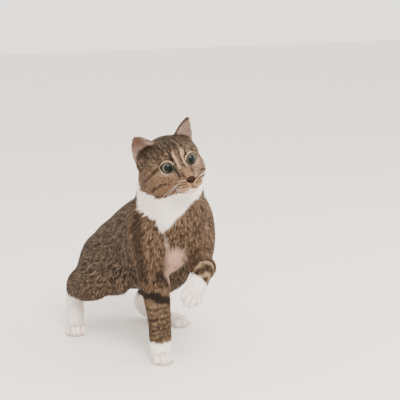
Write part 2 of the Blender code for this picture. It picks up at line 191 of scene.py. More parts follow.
# The voxels' steps are smoothed away, least on the face and feet, where the forms are fine.
roundness = np.where(on_head, 0.4, np.where(comes_from(part, *PAWS), 0.3, 1.0))
roundness = blurred(roundness, 10)[:, None]
for _ in range(30):
    co += 0.5 * roundness * (spread(co) - co)
    co -= 0.53 * roundness * (spread(co) - co)
# The belly's edge is drawn out smooth, from the flank into the thighs.
calm = comes_from(part, "trunk", *THIGHS)
calm = blurred(calm * ramp(0.14, 0.12, co[:, 2]) * ramp(0.055, 0.065, co[:, 2]), 6)[:, None]
for _ in range(30):
    co += 0.5 * calm * (spread(co) - co)


def normals_of(co):
    mesh.vertices.foreach_set("co", co.ravel())
    mesh.update()
    return numbers(mesh.vertex_normals, "vector", 3)


normals = normals_of(co)
co = co - normals * depth[:, None]

# The bridge of the nose falls away on both sides to the cheeks, so the muzzle stands clear of the eyes.
face = in_head(co)
aside = np.abs(face[:, 0])
levels = [-3, -2, -1.5, -1, -0.5, 0, 0.5, 1]
ridge = np.interp(face[:, 2], levels, [-3.75, -3.62, -3.22, -2.65, -2.15, -1.7, -1.36, -1.2])
fall = np.interp(aside, [0.3, 0.5, 0.7, 0.95, 1.3, 1.7, 2.3], [0, 0.14, 0.42, 0.9, 1.32, 1.62, 1.8])
extra = np.maximum(ridge + fall - face[:, 1], 0) * (aside < 3)
push = extra**2 / (extra + 0.12) * ramp(-2.8, -1.8, face[:, 2]) * ramp(1.3, 0.5, face[:, 2])
push = blurred(push, 6) * (face[:, 1] < 0.5)
co += push[:, None] / 100 * FROM_HEAD[:3, 1]

# Lids: the skin draws in round each eyeball to an almond opening, and goes behind the ball inside it.
EYE_BALL = 1.10  # radius, in centimetres
LIDS_TURN, GAZE = 16, 8  # how many degrees outward the lids face, and each eye looks
SLANT = math.radians(21)  # the outer corner is the higher
LID_WIDE, LID_TOP, LID_FOOT = 1.24, 0.86, 0.82  # half the opening's width, and its height above and below


def eye_axes(side, degrees=LIDS_TURN):
    """Outward, upward and forward from an eye, in the head's frame."""
    turn = math.radians(degrees)
    out = np.array([side * math.cos(turn), math.sin(turn), 0])
    return np.array([out, [0, 0, 1], [side * math.sin(turn), -math.cos(turn), 0]])


def lid_gap(out, up):
    """The distance outside the lids' opening along the ball, negative within it."""
    a = out * math.cos(SLANT) + up * math.sin(SLANT)
    b = up * math.cos(SLANT) - out * math.sin(SLANT)
    top = (LID_WIDE**2 + LID_TOP**2) / (2 * LID_TOP)
    foot = (LID_WIDE**2 + LID_FOOT**2) / (2 * LID_FOOT)
    return np.maximum(np.hypot(a, b + top - LID_TOP) - top, np.hypot(a, b - foot + LID_FOOT) - foot)


def from_eye(points, side):
    """Places in an eye's own frame: outward, upward and forward, and the distance outside the lids."""
    own = (in_head(points) - eye_middles[side]) @ eye_axes(side).T
    flat = np.maximum(np.hypot(own[:, 0], own[:, 1]), 1e-9)
    arc = EYE_BALL * np.arcsin(np.minimum(flat / EYE_BALL, 1)) + np.maximum(flat - EYE_BALL, 0)
    gap = lid_gap(own[:, 0] * arc / flat, own[:, 1] * arc / flat)
    return own, flat, np.where((own[:, 2] > -0.4) & (flat < 2.4), gap, 9.0)


eye_gap = np.full(len(co), 9.0)
for side in EYES:
    own, flat, gap = from_eye(co, side)
    rise = np.sqrt(np.maximum(EYE_BALL**2 - flat**2, 0))
    over = np.interp(gap, [-0.30, -0.04, 0.01, 0.12, 0.30, 0.6], [-0.35, -0.08, 0.0, 0.09, 0.14, 0.14])
    ball = np.column_stack((own[:, :2], rise)) * (1 + over / EYE_BALL)[:, None]
    own += ramp(0.60, 0.20, gap)[:, None] * (ball - own)
    place = own @ eye_axes(side) + eye_middles[side]
    co = np.where((gap < 0.6)[:, None], out_of_head(place), co)
    eye_gap = np.minimum(eye_gap, gap)

# How deep, in metres, the skin is cut in between the toes, along the lips and behind the nose leather.
TOE_CUT, LIP_CUT, NOSE_CUT = 0.0012, 0.0016, 0.0030

# Mouth: a cleft under the nose that parts to both sides over the chin.
CLEFT = [(0, -4.0, -2.75), (0, -3.9, -3.15)]
LIPS = [(0, -3.9, -3.15), (0.25, -3.75, -3.42), (0.85, -3.4, -3.58), (1.4, -2.8, -3.86), (2.1, -1.7, -3.9)]


def distance_to(points, path):
    """How far points are from a path through these places."""
    path = np.array(path, float)
    best = np.full(len(points), np.inf)
    for one, other in zip(path, path[1:]):
        way = other - one
        share = np.clip(((points - one) @ way) / (way @ way), 0, 1)
        best = np.minimum(best, np.linalg.norm(points - one - share[:, None] * way, axis=1))
    return best


# Toes: where each foot is in centimetres, which way its toes go and its back faces, half its width and its
# length.
FEET = {
    "forepaw_right": ((-6.07, -16.21, -0.14), (-0.12, -1, 0), (0, 0, 1), 1.68, 3.3),
    "forepaw_left": ((-3.67, -22.91, 13.26), (-0.34, 0.22, -0.92), (-0.35, -0.90, 0), 1.72, 3.5),
    "hindfoot_right": ((-12.12, 3.99, -0.14), (-0.42, -0.9, 0), (0, 0, 1), 1.70, 3.4),
    "hindfoot_left": ((4.78, 0.19, -0.14), (0.42, -0.9, 0), (0, 0, 1), 1.66, 3.4),
}


def foot_axes(toes, back):
    """Across, heelward and backward in a foot's own frame."""
    heel = -np.array(toes, float) / np.linalg.norm(toes)
    back = np.array(back, float) - heel * (heel @ np.array(back, float))
    back /= np.linalg.norm(back)
    return np.array([np.cross(heel, back), heel, back])


def toe_gaps(points):
    """1 in the clefts between the toes, and 0 beyond them."""
    gaps = np.zeros(len(points))
    for middle, toes, back, wide, long in FEET.values():
        across, heel, up = ((points * 100 - np.array(middle)) @ foot_axes(toes, back).T).T
        along = ramp(-0.95 * long, -0.85 * long, heel) * ramp(-0.15 * long, -0.40 * long, heel)
        for gap in (-0.49, 0.0, 0.49):
            off = np.abs(across - gap * wide * (1 - 0.12 * heel / long))
            gaps = np.maximum(gaps, ramp(0.13, 0.02, off) * along * (up > 0.1) * (up < 3))
    return gaps


normals = normals_of(co)
co -= normals * (toe_gaps(co) * TOE_CUT)[:, None]
normals = normals_of(co)
face = in_head(co)
face[:, 0] = np.abs(face[:, 0])
groove = np.maximum(ramp(0.16, 0.02, distance_to(face, CLEFT)), ramp(0.17, 0.02, distance_to(face, LIPS)))
co -= normals * (groove * LIP_CUT)[:, None]
behind_nose = ramp(1.0, 0.7, np.linalg.norm((face - np.array([0, -3.4, -2.3])) / [0.72, 1.2, 0.50], axis=1))
co += (behind_nose * NOSE_CUT)[:, None] * FROM_HEAD[:3, 1]
normals = normals_of(co)

# How far each point of the skin is from the nose over the body, which orders the rings and the coat's lie.
links = [[] for _ in co]
for loop in (tuple(polygon.vertices) for polygon in mesh.polygons):
    for index, one in enumerate(loop):
        for other in loop[index + 1 :]:
            step = math.dist(co[one], co[other])
            links[one].append((other, step))
            links[other].append((one, step))
NOSE_TIP = np.array([0.0, -4.2, -2.3])
first = int(np.argmin(((in_head(co) - NOSE_TIP) ** 2).sum(1)))
reach = np.full(len(co), np.inf)
reach[first] = 0
queue = [(0.0, first)]
while queue:
    so_far, here = heapq.heappop(queue)
    if so_far > reach[here]:
        continue
    for other, step in links[here]:
        if so_far + step < reach[other] - 1e-9:
            reach[other] = so_far + step
            heapq.heappush(queue, (so_far + step, other))
reach = blurred(reach, 12)

# The lie of the coat: away from the nose, down the legs and sides, and along the tail.
along = co[edges[:, 1]] - co[edges[:, 0]]
slope = ((reach[edges[:, 1]] - reach[edges[:, 0]]) / (along**2).sum(1))[:, None] * along
lie = np.zeros_like(co)
for axis in range(3):
    lie[:, axis] = np.bincount(edges[:, 0], slope[:, axis], len(co))
    lie[:, axis] += np.bincount(edges[:, 1], slope[:, axis], len(co))
lie /= np.maximum(np.linalg.norm(lie, axis=1), 1e-9)[:, None]
lie = blurred(lie, 15)
trunk_like = blurred(comes_from(part, "trunk", "chest", "neck").astype(float), 20)
lie[:, 2] -= 0.45 * trunk_like
for middle in eye_middles.values():  # the hair turns away from the lids
    way = co - out_of_head(middle)
    span = np.linalg.norm(way, axis=1)
    lie += 1.6 * (ramp(0.9, 0.25, eye_gap) * (span < 0.03) / span)[:, None] * way
lie -= (lie * normals).sum(1)[:, None] * normals
lie /= np.maximum(np.linalg.norm(lie, axis=1), 1e-9)[:, None]


# -------------------- markings
# A mackerel tabby with white and some painted shade: the same marks lie on the skin and on the coat growing
# from it.
# Places on the face are in the head's frame in centimetres, the others in the cat's frame in centimetres.


def near(points, path, radius):
    """1 on a path through these places, falling to 0 at this distance from it."""
    return ramp(radius, radius * 0.35, distance_to(points, path))


def wave(points, size, shift=0.0):
    """A smooth random-looking field between -1 and 1 with features of about this size in centimetres."""
    turn = np.array([[0.9, 0.3, -0.5], [-0.4, 1.1, 0.2], [0.5, -0.2, 1.0], [0.7, 0.8, 0.6]]) * (2.6 / size)
    wander = 1.4 * np.sin(points[:, [1, 2, 0, 1]] * 1.7 / size)
    return np.sin(points @ turn.T + np.array([0.3, 1.9, 4.1, 2.6]) + shift + wander).mean(1) * 1.6


def inside(across, up, outline, soft):
    """1 inside an outline drawn flat, 0 outside it, with a soft edge."""
    outline = np.array(outline, float)
    crossed = np.zeros(len(across), bool)
    nearest = np.full(len(across), np.inf)
    for one, other in zip(outline, np.roll(outline, -1, 0)):
        straddles = (one[1] > up) != (other[1] > up)
        rise = np.where(np.abs(other[1] - one[1]) < 1e-9, 1e-9, other[1] - one[1])
        crossed ^= straddles & (across < (other[0] - one[0]) * (up - one[1]) / rise + one[0])
        way = other - one
        share = np.clip(((across - one[0]) * way[0] + (up - one[1]) * way[1]) / (way @ way), 0, 1)
        off = (across - one[0] - share * way[0], up - one[1] - share * way[1])
        nearest = np.minimum(nearest, np.hypot(*off))
    return ramp(-soft, soft, np.where(crossed, nearest, -nearest))


# The white bib's outline from in front: across and up, in centimetres.
BIB = [(-10.5, 28.5), (-9.2, 26.6), (-8.9, 24.3), (-8.2, 23.5), (-7.5, 22.9), (-6.55, 21.1), (-6.1, 21.8),
       (-5.0, 23.6), (-3.0, 25.3), (-0.8, 26.6), (0.4, 27.2), (1.6, 27.9), (2.5, 30.0), (-4.0, 31.0)]


# An ear's inner foot, its outer heel and its tip, in the head's frame.
EAR_FOOT, EAR_HEEL, EAR_RISE = np.array([(1.81, 2.25, 3.26), (4.66, 4.42, 1.34), (4.61, 2.19, 5.65)])

# The dark lines of one half of the face: half width, strength and path of each.
FACE_LINES = (
    (0.25, 0.85, [(2.75, 0.0, 0.35), (3.55, 0.7, 0.0), (4.27, 1.7, -0.84), (4.68, 2.7, -1.44)]),
    (0.45, 0.5, [(4.68, 2.7, -1.44), (4.8, 4.0, -2.0)]),
    (0.24, 0.85, [(2.58, -0.4, -2.37), (3.37, 0.1, -2.29), (4.12, 1.0, -2.59), (4.44, 2.3, -3.1)]),
    # Along the jaw: the cheek's brown edge, darkened with painted shade where the head overhangs the bib.
    (0.6, 0.6, [(4.9, 5.4, -3.45), (4.59, 3.8, -4.1), (3.84, 2.45, -4.4), (3.0, 1.6, -4.5)]),
    (0.33, 0.95, [(1.17, -0.75, 2.0), (1.06, -0.85, 1.45), (1.04, -0.75, 0.98)]),
    (0.24, 0.7, [(1.05, -0.5, 2.6), (1.0, 0.3, 3.2), (0.9, 2.5, 3.8), (1.0, 4.5, 3.9)]),
    (0.20, 0.6, [(0.3, -0.9, 2.3), (0.35, 0.4, 3.2), (0.3, 2.5, 3.9), (0.3, 4.5, 4.0)]),
    (0.22, 0.6, [(1.9, -0.4, 1.95), (2.2, 0.6, 2.5), (2.3, 2.2, 3.0)]),
    (0.2, 0.4, [(2.7, 0.1, 1.6), (3.1, 1.2, 1.9), (3.2, 2.2, 2.1)]),
)
TEAR_LINE = [(0.95, -0.75, -0.4), (1.14, -1.3, -0.6), (1.08, -1.75, -1.03), (1.04, -2.25, -1.6)]
PALE_BAND = [(0.67, -0.9, 2.07), (0.63, -1.0, 1.27), (0.53, -1.28, 0.46), (0.56, -1.9, -0.42)]


def markings(points, reach, part, inner):
    """The tabby's marks at points of the skin, with painted shade in a few creases: dark, tan, pale and warm
    in one, then white.
    """
    body = points * 100
    face = in_head(points)
    left_side = face[:, 0] > 0
    face[:, 0] = np.abs(face[:, 0])
    # The left side's marks stand a little farther out.
    face[:, 0] -= 0.40 * left_side * ramp(0.3, 1.3, face[:, 0]) * ramp(-1.6, -0.8, face[:, 2])
    x, y, z = body.T
    is_head = comes_from(part, "head", *EARS).astype(float)
    is_ear = comes_from(part, *EARS).astype(float)
    rough = wave(body, 0.9)
    finer = wave(body, 0.45, 2.0)
    edge = 0.12 * finer + 0.10 * rough
    dark, tan, pale, white = (np.zeros(len(points)) for _ in range(4))

    def lay(target, mask, strength):
        np.maximum(target, mask * strength, out=target)

    jagged = face + 0.08 * np.stack((finer, rough, finer), 1)
    skull = is_head * (1 - is_ear)
    # Face: dark lines from the eyes, over the cheeks and up the forehead, and painted shade under the jaw.
    for radius, strength, path in FACE_LINES:
        lay(dark, near(jagged, path, radius), strength)
    lay(dark, near(face, TEAR_LINE, 0.23), 1.0)
    streak = np.sin(face[:, 0] * 11 + 1.2 * rough + 0.4 * face[:, 1])
    forehead = ramp(1.2, 2.3, face[:, 2]) * ramp(-1.5, -0.7, face[:, 1]) * skull
    lay(dark, forehead * ramp(-0.1, 0.6, streak), 0.75)
    lay(pale, forehead * ramp(0.5, 1.0, -streak) * ramp(2.5, 0.5, face[:, 1]), 0.2)
    lay(dark, skull * ramp(1.2, 2.8, face[:, 2]), 0.5)
    lay(pale, near(face, PALE_BAND, 0.30), 0.72)
    gap = np.minimum(*(from_eye(points, side)[2] for side in EYES))
    ring = ramp(0.60, 0.40, gap) * skull
    lay(pale, ring, 0.95)
    lay(white, ring * ramp(0.9, 0.0, face[:, 2]), 0.32)
    lay(pale, near(face, [(1.9, -0.65, -1.1), (3.0, 0.15, -0.5)], 0.75), 0.4)
    lay(dark, ramp(0.24, 0.15, gap) * skull, 1.0)
    cheek = skull * ramp(1.2, 0.2, face[:, 2]) * ramp(3.6, 1.5, face[:, 1])
    lay(pale, cheek * ramp(0.9, 1.6, face[:, 0]), 0.1)
    lay(tan, skull * ramp(0.8, -0.6, face[:, 2]) * ramp(0.8, 2.0, face[:, 0]), 0.16)
    # Muzzle: tan pads with rows of dark spots where the whiskers grow, dark lips and a white chin.
    from_pad = (face - np.array([1.35, -3.0, -2.95])) * [0.9, 0.75, 1.25]
    pad = ramp(1.45, 0.85, np.linalg.norm(from_pad, axis=1))
    lay(tan, pad, 0.6)
    lay(pale, pad, 0.75)
    flat = face * [1, 0, 1] + 0.03 * np.stack((rough, rough, finer), 1)
    for inner_end, outer_end in ((-2.47, -2.33), (-2.80, -2.60), (-3.12, -2.95)):
        row = [(0.75, 0, inner_end), (2.15, 0, outer_end)]
        lay(dark, ramp(0.15, 0.07, distance_to(flat, row)) * ramp(-1.7, -2.2, face[:, 1]), 0.85)
    lay(tan, near(face, [(0, -2.6, -0.9), (0, -3.5, -1.7)], 0.85), 0.5)
    lay(tan, near(face, [(2.4, -0.4, -3.05), (3.1, 0.2, -3.25)], 0.75), 0.4)
    lay(dark, ramp(0.13, 0.05, distance_to(face, LIPS[:4])), 0.85)
    lay(dark, ramp(0.10, 0.04, distance_to(face, CLEFT)), 0.8)
    jaw = -4.65 + 1.45 * ramp(3.6, 5.3, face[:, 0])
    chin = ramp(1.9, 1.3, face[:, 0]) * ramp(-1.2, -1.9, face[:, 1])
    jaw = jaw + chin * 0.72
    below_jaw = np.where(is_head > 0, ramp(0.14, -0.14, face[:, 2] - jaw + edge), 1.0)
    behind = np.minimum(-13.9 + 0.5 * np.maximum(z - 24.2, 0), -12.3 - 0.4 * np.maximum(z - 28, 0))
    behind -= 2.2 * ramp(-5, -1, x)
    bib = inside(x + edge, z + 2 * edge, BIB, 0.18) * ramp(0.4, -0.4, y + 2 * edge - behind) * below_jaw
    lay(white, bib, 1.0)
    beard = chin * ramp(0.25, -0.25, face[:, 2] - jaw + 1.5 * edge) * skull
    lay(white, beard, 1.0)
    tan = np.where(beard > 0.3, 0.45, tan * (1 - bib))
    # Breast and belly: a thin white line down to a pinkish white patch between the forelegs.
    breast = [(-6.6, -18.4, 21.2), (-6.4, -18.6, 19.8), (-6.1, -18.7, 18.5), (-5.7, -18.6, 17.5)]
    line = near(body, breast, 0.55)
    lay(white, line, 0.45)
    between = [(-4.7, -18.9, 16.9), (-4, -17, 14.6), (-2.6, -12, 11.6), (-2.2, -5, 9), (-3.6, 4, 6)]
    belly = near(body + 1.5 * edge[:, None], between, 2.1)
    lay(white, belly, 0.85)
    tan = np.maximum(tan, np.maximum(0.8 * ramp(0.05, 0.4, belly), 0.6 * line))
    # Right foreleg: a broad black band, painted shade in the fold at the elbow, and finer rings below.
    arm = comes_from(part, "chest", "foreleg_right", "forepaw_right") * (x < -3.2) * (z < 14.5)
    tilt = z + 0.37 * (x + 8.0) + 0.25 * rough
    lay(dark, arm * ramp(0.85, 0.50, np.abs(tilt - 10.75)), 1.0)
    # Painted shade in the crease on the inside of the elbow.
    lay(dark, near(body, [(-6.6, -16.6, 13.9), (-5.4, -16.5, 13.2), (-4.7, -15.9, 12.6)], 0.9), 0.9)
    lay(pale, arm * ramp(12.5, 9.5, z), 0.12)
    bands = {13.3: 0.5, 12.2: 0.4, 8.4: 0.7, 7.5: 0.4, 6.7: 0.9, 5.7: 0.7, 5.0: 0.75, 4.3: 0.7, 3.6: 0.6}
    for height, strength in bands.items():
        level = z - 0.2 * (x + 6.2) - height + 0.18 * rough
        lay(dark, arm * ramp(0.34, 0.14, np.abs(level)), strength)
    # Left foreleg: rings across the lifted forearm. The other legs are ringed as the species is.
    rings = np.sin(reach * 100 * 2 * np.pi / 1.55 + 0.9 * rough)
    left_arm = comes_from(part, "foreleg_left")
    lay(dark, left_arm * ramp(0.25, 0.8, rings), 0.7)
    lay(pale, left_arm * ramp(-0.2, -0.8, rings), 0.55)
    lay(dark, comes_from(part, *THIGHS) * ramp(0.3, 0.9, rings), 0.45)
    tail = comes_from(part, "tail_base", "tail_middle", "tail_tip")
    tail_rings = np.sin(reach * 100 * 2 * np.pi / 2.7 + 0.5 * rough)
    lay(dark, tail * ramp(-0.1, 0.5, tail_rings), 0.85)
    lay(dark, tail * ramp(22.4, 23.4, y), 0.95)
    # Trunk: fine broken bars down the sides, a dark spine line, and painted shade in the crease behind the
    # right shoulder.
    trunk = comes_from(part, "trunk", "chest", "neck", *THIGHS)
    bars = np.sin((y + 0.25 * z) * 2 * np.pi / 2.1 + 1.5 * wave(body, 2.5))
    broken = ramp(0.1, 0.9, bars) * ramp(-0.8, 0.4, wave(body, 1.6, 1.0))
    lay(dark, trunk * ramp(-13.5, -10.5, y) * broken, 0.36)
    # Painted shade: a dark streak down the crease between the right shoulder and the flank.
    shoulder_crease_shade = [(-9.5, -15.0, 22.9), (-9.5, -15.6, 19.2), (-9.2, -15.6, 16.4), (-8.6, -15.0, 13.6)]
    lay(dark, near(body + 2 * edge[:, None], shoulder_crease_shade, 1.4), 0.65)
    spine = ramp(1.1, 0.3, np.abs(x + 3.6 + 0.3 * rough)) * trunk * ramp(17.5, 19.0, z + 0.42 * (y + 5))
    lay(dark, spine, 0.5)
    # White feet.
    lay(white, comes_from(part, "forepaw_right") * ramp(0.2, -0.2, z - 3.0 + edge), 1.0)
    raised = comes_from(part, "forepaw_left", "foreleg_left") * (y < -21.5)
    lay(white, raised * ramp(0.25, -0.25, z - 15.6 + (x + 4.1) + edge), 1.0)
    rear_right = comes_from(part, "hindfoot_right", "hindleg_right")
    lay(white, rear_right * ramp(0.2, -0.2, z - 5.2 - 0.35 * (y - 5.0) + edge), 1.0)
    lay(white, comes_from(part, "hindfoot_left", "hindleg_left") * ramp(0.2, -0.2, z - 4.6 + edge), 1.0)
    # Painted shade in the clefts between the toes, tinting them tan.
    tan = np.maximum(tan, toe_gaps(points))
    # The coat is browner in front and lower down. The ears have marks of their own.
    warm = np.maximum(ramp(-9.0, -14.0, y) * ramp(27.0, 24.0, z), is_head * 0.5)
    warm = np.maximum(warm, ramp(12.5, 9.5, z) * 0.5)
    dark = np.where(is_ear > 0, 0.35 * (1 - inner), dark)
    tan, pale, white = (values * (1 - is_ear) for values in (tan, pale, white))
    to_tip = np.linalg.norm(face - EAR_RISE, axis=1)
    tan = np.maximum(tan, is_ear * inner * ramp(3.4, 1.6, to_tip) * np.where(left_side, 0.25, 1.0))
    return np.stack((dark, tan, pale, warm), 1), white


def give(mesh, name, kind, values):
    """Stores values on a mesh's points."""
    field = {"FLOAT": "value", "FLOAT_VECTOR": "vector", "FLOAT_COLOR": "color"}[kind]
    flat = np.asarray(values, np.float32).ravel()
    mesh.attributes.new(name, kind, "POINT").data.foreach_set(field, flat)


def paint_on(mesh, places, reaches, parts, inner):
    """Stores a piece's places on the skin, and the marks there, for its material."""
    marks, white = markings(places, reaches, parts, inner)
    give(mesh, "inner", "FLOAT", inner)
    give(mesh, "place", "FLOAT_VECTOR", places)
    give(mesh, "marks", "FLOAT_COLOR", marks)
    give(mesh, "white", "FLOAT", white)


class Shade:
    """A shader socket with arithmetic on it."""

    def __init__(self, tree, socket=None):
        self.tree = tree
        self.socket = socket

    def node(self, kind, settings, inputs, out=0):
        """Adds a node, its settings first and then its inputs, and gives one of its outputs."""
        made = self.tree.nodes.new(kind)
        for name, value in settings.items():
            setattr(made, name, value)
        for name, value in inputs.items():
            if isinstance(value, Shade):
                self.tree.links.new(value.socket, made.inputs[name])
            else:
                made.inputs[name].default_value = value
        return Shade(self.tree, made.outputs[out])

    def stored(self, name, out=2):
        """Values kept on the mesh's points: 0 gives them as a colour, 1 as a vector and 2 as a number."""
        return self.node("ShaderNodeAttribute", {"attribute_name": name}, {}, out)

    def noise(self, scale, **more):
        """Noise of this scale at these places."""
        return self.node("ShaderNodeTexNoise", {}, {"Vector": self, "Scale": scale, **more})

    def math(self, operation, *values):
        kind = "ShaderNodeMath"
        if any(isinstance(value, Shade) and value.socket.type in ("VECTOR", "RGBA") for value in values):
            kind = "ShaderNodeVectorMath"
            values = [(value,) * 3 if np.isscalar(value) else value for value in values]
        return self.node(kind, {"operation": operation}, dict(enumerate(values)))

    def __add__(self, other):
        return self.math("ADD", self, other)

    __radd__ = __add__

    def __sub__(self, other):
        return self.math("SUBTRACT", self, other)

    def __rsub__(self, other):
        return self.math("SUBTRACT", other, self)

    def __mul__(self, other):
        return self.math("MULTIPLY", self, other)

    def ramp(self, low, high):
        """0 below low and 1 above high."""
        smooth = {"interpolation_type": "SMOOTHSTEP"}
        return self.node("ShaderNodeMapRange", smooth, {0: self, 1: low, 2: high})

    def mix(self, one, other):
        """From one colour to the other as this goes from 0 to 1."""
        return self.node("ShaderNodeMix", {"data_type": "RGBA"}, {0: self, 6: one, 7: other}, 2)


def new_material(name):
    """A material, its principled shader and a start for shader arithmetic."""
    material = bpy.data.materials.new(name)
    material.use_nodes = True
    return material, material.node_tree.nodes["Principled BSDF"], Shade(material.node_tree)


def finish_paint(start, shader, colour, roughness, shine, relief=None):
    """Joins a colour to the principled shader, sets how rough and shiny it is, and gives it fine relief."""
    start.tree.links.new(colour.socket, shader.inputs["Base Color"])
    shader.inputs["Roughness"].default_value = roughness
    shader.inputs["Specular IOR Level"].default_value = shine
    if relief:
        bump = start.node("ShaderNodeBump", {}, dict(zip(("Height", "Strength", "Distance"), relief)))
        start.tree.links.new(bump.socket, shader.inputs["Normal"])


def rgb(hexes):
    """A colour for the shader from one written as red, green and blue in hexadecimal."""
    levels = [int(hexes[start : start + 2], 16) / 255 for start in (0, 2, 4)]
    return (*[level / 12.92 if level <= 0.04045 else ((level + 0.055) / 1.055) ** 2.4 for level in levels], 1)


def coat_material(name, is_skin):
    material, shader, start = new_material(name)
    place = start.stored("place", 1)
    marks = start.stored("marks", 0)
    warm = Shade(start.tree, marks.socket.node.outputs[3])
    parted = start.node("ShaderNodeSeparateColor", {}, {0: marks})
    dark, tan, pale = (Shade(start.tree, parted.socket.node.outputs[index]) for index in range(3))
    white = start.stored("white")
    fine = place.noise(420.0, Detail=2.0, Roughness=0.6)
    broad = place.noise(230.0, Detail=2.0)
    seed = fine if is_skin else start.stored("seed")
    grey = warm.mix(rgb("221b16"), rgb("2d2219"))
    light = warm.mix(rgb("716152"), rgb("765f4b"))
    ticked = ((seed + fine) * 0.5 + (broad - 0.5) * 0.9).ramp(0.43, 0.65).mix(grey, light)
    if not is_skin:
        strand = start.stored("strand")
        ticked = (strand.ramp(0.0, 0.5) * 0.75 + 0.25).mix(rgb("1c1510"), ticked)
        ticked = (strand.ramp(0.72, 1.0) * (0.85 - seed * 0.6)).mix(ticked, rgb("17110d"))
    colour = (pale * 0.85).mix(ticked, rgb("b79a7a"))
    colour = (tan * 0.9).mix(colour, rgb("8a6248"))
    colour = (dark * (0.72 + fine * 0.4)).mix(colour, rgb("0f0a07"))
    snow = (seed * 0.5 + fine * 0.5).mix(rgb("f4e5da"), rgb("fff6ee"))
    snow = tan.mix(snow, rgb("c29078"))
    colour = white.mix(colour, snow)
    inner = start.stored("inner")
    flesh = fine.mix(rgb("5c4234"), rgb("7c6152"))
    if not is_skin:
        flesh = (fine * 0.6 + seed * 0.4).mix(rgb("8a6c5c"), rgb("c4b0a4"))
    flesh = (tan * 0.85).mix(flesh, rgb("684d41"))
    colour = inner.mix(colour, flesh)
    finish_paint(start, shader, colour, 0.72, 0.15, (fine, 0.4, 0.0006) if is_skin else None)
    return material


skin_paint = coat_material("skin_paint", True)
coat_paint = coat_material("coat_paint", False)

# The ears' hollow sides, which are nearly bare.
mouth_way = np.cross(EAR_HEEL - EAR_FOOT, EAR_RISE - EAR_FOOT)
mouth_way /= np.linalg.norm(mouth_way)
head_normals = normals @ FROM_HEAD[:3, :3]
face = in_head(co)
sided = np.column_stack((np.where(face[:, 0] > 0, 1.0, -1.0), np.ones((len(co), 2))))
facing = (head_normals * sided) @ mouth_way
# The left ear's front edge is folded over, so a strip along it shows the coat of the ear's back.
folded = np.where(face[:, 0] > 0, ramp(0.60, 0.80, distance_to(face, [EAR_FOOT, EAR_RISE])), 1.0)
inner_ear = blurred(comes_from(part, *EARS) * ramp(-0.1, 0.3, facing) * folded, 2)
paint_on(mesh, co, reach, part, inner_ear)
mesh.materials.append(skin_paint)
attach(skin, "root")
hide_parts(*FLESH)

# The skin's own unwrap, which the coat shares.
mesh.uv_layers.new(name="OFBake")
bpy.context.view_layer.objects.active = skin
skin.select_set(True)
bpy.ops.object.mode_set(mode="EDIT")
bpy.ops.mesh.select_all(action="SELECT")
bpy.ops.uv.smart_project(angle_limit=1.15, island_margin=0.002)
bpy.ops.object.mode_set(mode="OBJECT")

# No hair grows on the lids' rims, the eyes or the nose leather.
to_nose = np.linalg.norm((face - np.array([0, -3.66, -2.32])) / [0.80, 0.62, 0.56], axis=1)
bare = ramp(0.12, 0.20, eye_gap) * ramp(1.0, 1.12, to_nose)

# -------------------- coat
# Short, dense fur all over the skin. It grows in small flat locks that overlap like tiles and lie along the
# body, longest on the breast and flanks and shortest on the face, ears and feet.

# For each kind of node: the locks' length and width in metres, and how many grow on a square millimetre.
LOCKS = {
    "head": (0.0062, 0.00060, 1.25),
    "neck": (0.0110, 0.00085, 0.70),
    "chest": (0.0092, 0.00080, 0.66),
    "trunk": (0.0082, 0.00078, 0.74),
    "foreleg": (0.0070, 0.00072, 0.85),
    "forepaw": (0.0042, 0.00058, 1.1),
    "hindleg": (0.0078, 0.00076, 0.74),
    "hindfoot": (0.0042, 0.00058, 1.0),
    "tail": (0.0100, 0.00080, 0.75),
    "ear": (0.0032, 0.00048, 1.3),
}
PATCH = 0.003  # across, of each lock on the skin's map
LOCK_FACES = np.array([[0, 1, 3], [0, 3, 2], [0, 2, 1], [4, 3, 1], [4, 2, 3], [4, 1, 2]])
LOCK_MAP = np.array([[0.5, 0.0], [0.15, 0.5], [0.85, 0.5], [0.5, 0.5], [0.5, 1.0]]) - 0.5
rng = np.random.default_rng(7)
mesh.calc_loop_triangles()
triangles = numbers(mesh.loop_triangles, "vertices", 3, np.int32)
triangle_loops = numbers(mesh.loop_triangles, "loops", 3, np.int32)
corner_uv = numbers(mesh.uv_layers["OFBake"].uv, "vector", 2)
edge_one = co[triangles[:, 1]] - co[triangles[:, 0]]
edge_two = co[triangles[:, 2]] - co[triangles[:, 0]]
areas = np.linalg.norm(np.cross(edge_one, edge_two), axis=1) / 2
surface = BVHTree.FromPolygons([Vector(point) for point in co], triangles.tolist())
lock_table = np.array([LOCKS[name.split("_")[0]] for name in FLESH])[part]
lock_table[on_head, 0] = 0.0032 + 0.0050 * ramp(-1.5, 3.5, face[on_head, 1])
lock_length, lock_width, lock_count = (blurred(lock_table[:, column], 10) for column in range(3))
close = ramp(0.0, 0.8, eye_gap)
lock_length *= 0.4 + 0.6 * close
lock_count = lock_count * bare * (1 + 0.5 * (1 - close)) * (1 - 0.4 * inner_ear)


def unit(vectors):
    return vectors / np.maximum(np.linalg.norm(vectors, axis=1), 1e-12)[:, None]


def swirl(points):
    """A slow wander, from -1 to 1, that turns neighbouring locks alike."""
    waves = np.sin(points @ np.array([310.0, 170, 240])) + np.sin(points @ np.array([-190.0, 330, 150]) + 1.3)
    return 0.5 * (waves + np.sin(points @ np.array([120.0, -260, 420]) + 2.1)) / 1.5


